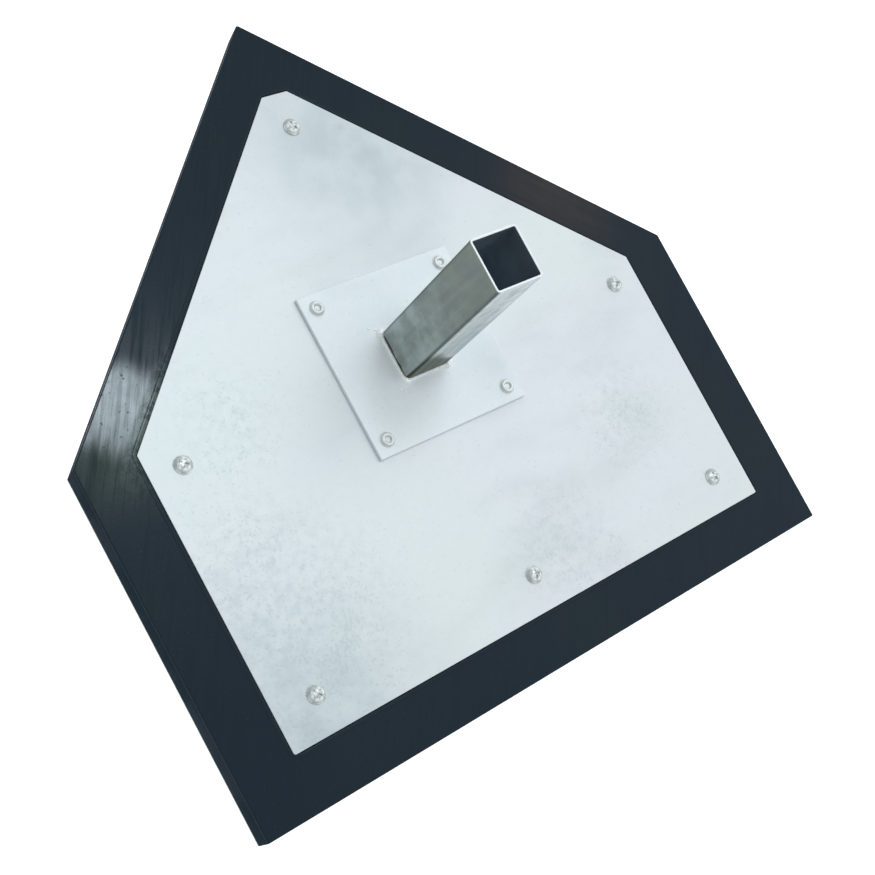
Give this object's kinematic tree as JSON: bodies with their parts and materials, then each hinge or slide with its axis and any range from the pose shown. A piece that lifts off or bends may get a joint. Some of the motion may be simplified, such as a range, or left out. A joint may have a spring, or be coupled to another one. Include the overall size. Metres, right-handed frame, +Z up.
{
  "type": "home plate with ground stem",
  "caption": "Five-sided rubber home plate lying on its white face, with a screwed-on steel backing sheet and a welded square stem that drops into a ground socket.",
  "frame": {"origin": "on the playing face, under the middle of the plate's length and width", "axes": "+Z up along the stem, out of the underside; +X along the front edge; +Y towards the apex"},
  "size_m": [0.4318, 0.4318, 0.1458],
  "materials": {
    "white_rubber": "matt moulded white rubber",
    "black_rubber": "satin moulded black rubber with streaks",
    "galvanised_sheet": "galvanised sheet with faint clouding",
    "tube_steel": "bare galvanised tube",
    "weld_steel": "rough weld bead, zinc sprayed",
    "zinc_fasteners": "bright zinc plating",
    "insert_steel": "plated steel insert"
  },
  "bodies": {
    "root": {"playing_surface": "white_rubber", "base_body": "black_rubber", "backing_plate": "galvanised_sheet", "stem_plate": "galvanised_sheet", "stem_tube": "tube_steel", "stem_weld": "weld_steel", "screw_apex": "zinc_fasteners", "screw_right_shoulder": "zinc_fasteners", "screw_left_shoulder": "zinc_fasteners", "screw_right_front": "zinc_fasteners", "screw_left_front": "zinc_fasteners", "screw_front_middle": "zinc_fasteners", "rivet_right_far": "zinc_fasteners", "rivet_pin_right_far": "zinc_fasteners", "rivet_left_far": "zinc_fasteners", "rivet_pin_left_far": "zinc_fasteners", "rivet_right_near": "zinc_fasteners", "rivet_pin_right_near": "zinc_fasteners", "rivet_left_near": "zinc_fasteners", "rivet_pin_left_near": "zinc_fasteners", "insert_apex": "insert_steel", "insert_right_shoulder": "insert_steel", "insert_left_shoulder": "insert_steel", "insert_right_front": "insert_steel", "insert_left_front": "insert_steel", "insert_front_middle": "insert_steel"}
  },
  "joints": []
}
